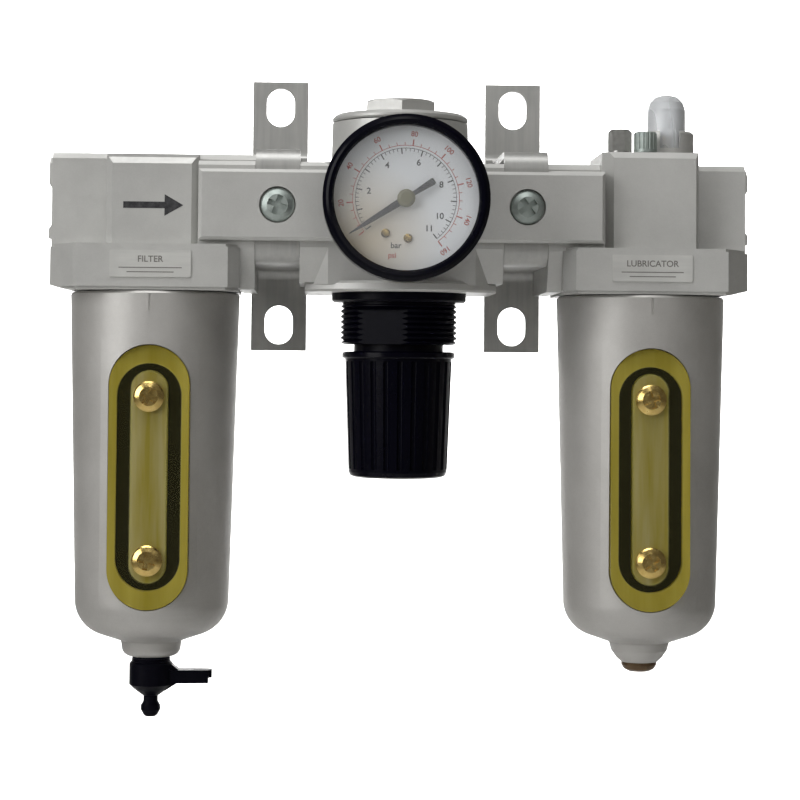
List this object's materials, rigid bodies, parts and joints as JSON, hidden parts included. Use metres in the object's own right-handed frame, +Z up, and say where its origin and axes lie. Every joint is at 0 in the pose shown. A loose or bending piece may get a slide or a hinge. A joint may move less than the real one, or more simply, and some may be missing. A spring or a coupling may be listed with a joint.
{
  "type": "filter regulator lubricator",
  "caption": "Compressed-air filter, pressure regulator and lubricator joined in a row, with metal bowls, sight windows, a round gauge and slotted wall brackets.",
  "frame": {"origin": "centre of the wall plane that the bracket tabs rest on, on the regulator's axis at port height", "axes": "+X is the flow direction from inlet to outlet, -Y is the front with the gauge, +Y points into the wall, +Z is up"},
  "size_m": [0.1976, 0.0755, 0.1827],
  "materials": {
    "cast_silver": "silver-grey metallic paint on die-cast metal",
    "bowl_silver": "silver metallic paint, satin",
    "bracket_steel": "satin zinc-plated sheet",
    "steel": "zinc-plated steel",
    "brass": "polished brass",
    "aged_bronze": "dark oxidised bronze",
    "black_rubber": "matt rubber",
    "black_plastic": "satin black moulding",
    "gloss_black": "gloss black moulding",
    "olive_glass": "olive-yellow transparent plastic",
    "clear_plastic": "clear plastic",
    "dial_white": "white printed dial",
    "filter_media": "sintered porous element",
    "inner_plastic": "moulded plastic",
    "valve_metal": "machined aluminium with rubber face",
    "label_foil": "thin satin foil plate, blank"
  },
  "bodies": {
    "frame": {"filter_body": "cast_silver", "filter_deflector": "inner_plastic", "filter_element": "filter_media", "filter_baffle": "inner_plastic", "filter_stud": "steel", "regulator_body": "cast_silver", "valve_cap": "cast_silver", "valve_cap_seal": "black_rubber", "valve_spring": "steel", "diaphragm": "black_rubber", "adjusting_spring": "steel", "bonnet": "black_plastic", "bonnet_screws": "steel", "rear_port_plug": "steel", "gauge_case": "black_plastic", "gauge_bezel": "gloss_black", "gauge_lens": "clear_plastic", "gauge_dial": "dial_white", "gauge_dial_screws": "brass", "gauge_movement": "steel", "bourdon_tube": "brass", "gauge_stem": "brass", "left_clamp_plate": "cast_silver", "right_clamp_plate": "cast_silver", "clamp_screws": "steel", "left_spacer": "cast_silver", "right_spacer": "cast_silver", "spacer_seals": "black_rubber", "left_bracket": "bracket_steel", "right_bracket": "bracket_steel", "label_plates": "label_foil", "lubricator_body": "cast_silver", "siphon_tube": "inner_plastic", "oil_strainer": "filter_media", "flow_damper": "inner_plastic", "sight_dome": "clear_plastic", "dome_ring": "cast_silver", "drip_nozzle": "brass", "fill_plug": "steel"},
    "filter_bowl_assembly": {"filter_bowl": "bowl_silver", "filter_bowl_seal": "black_rubber", "filter_sight_glass": "olive_glass", "filter_sight_gasket": "black_rubber", "filter_sight_screws": "brass", "drain_cock_body": "black_plastic", "drain_cock_seal": "black_rubber"},
    "drain_lever": {"drain_cock_lever": "black_plastic"},
    "lubricator_bowl_assembly": {"lubricator_bowl": "bowl_silver", "lubricator_bowl_seal": "black_rubber", "lubricator_sight_glass": "olive_glass", "lubricator_sight_gasket": "black_rubber", "lubricator_sight_screws": "brass", "drain_plug": "aged_bronze"},
    "adjuster": {"adjusting_screw": "steel"},
    "pressure_knob": {"knob": "gloss_black"},
    "nut": {"spring_nut": "steel"},
    "valve": {"valve_poppet": "valve_metal", "diaphragm_plate": "valve_metal"},
    "pointer": {"gauge_pointer": "black_plastic"},
    "drip_adjuster": {"drip_screw": "steel"}
  },
  "joints": [
    {"name": "filter_bowl_twist", "type": "hinge", "parent": "frame", "child": "filter_bowl_assembly", "pos_m": [-0.069, -0.027, -0.05], "axis": [0, 0, 1], "range_deg": [0, 45]},
    {"name": "lubricator_bowl_twist", "type": "hinge", "parent": "frame", "child": "lubricator_bowl_assembly", "pos_m": [0.069, -0.027, -0.05], "axis": [0, 0, 1], "range_deg": [0, 45]},
    {"name": "drain_lever_turn", "type": "hinge", "parent": "filter_bowl_assembly", "child": "drain_lever", "pos_m": [-0.069, -0.027, -0.132], "axis": [0, 0, 1], "range_deg": [0, 90]},
    {"name": "knob_turn", "type": "hinge", "parent": "frame", "child": "adjuster", "pos_m": [0, -0.027, -0.05], "axis": [0, 0, 1], "range_deg": [0, 720]},
    {"name": "knob_lock", "type": "slide", "parent": "adjuster", "child": "pressure_knob", "axis": [0, 0, 1], "range_m": [0, 0.0017]},
    {"name": "spring_nut_travel", "type": "slide", "parent": "frame", "child": "nut", "axis": [0, 0, 1], "range_m": [0, 0.003], "deforming": ["adjusting_spring"]},
    {"name": "valve_lift", "type": "slide", "parent": "frame", "child": "valve", "axis": [0, 0, 1], "range_m": [0, 0.001], "stiffness_N_per_m": 400, "springref_m": -0.002, "deforming": ["valve_spring"]},
    {"name": "pointer_turn", "type": "hinge", "parent": "frame", "child": "pointer", "pos_m": [0, -0.071, 0.0005], "axis": [0, 1, 0], "range_deg": [0, 270]},
    {"name": "drip_screw_turn", "type": "hinge", "parent": "frame", "child": "drip_adjuster", "pos_m": [0.0693, -0.0345, 0.015], "axis": [0, 0, 1], "range_deg": [0, 720]}
  ],
  "couplings": [
    {"joint": "knob_turn", "follows": "spring_nut_travel", "rad_per_m": 4188.8}
  ]
}
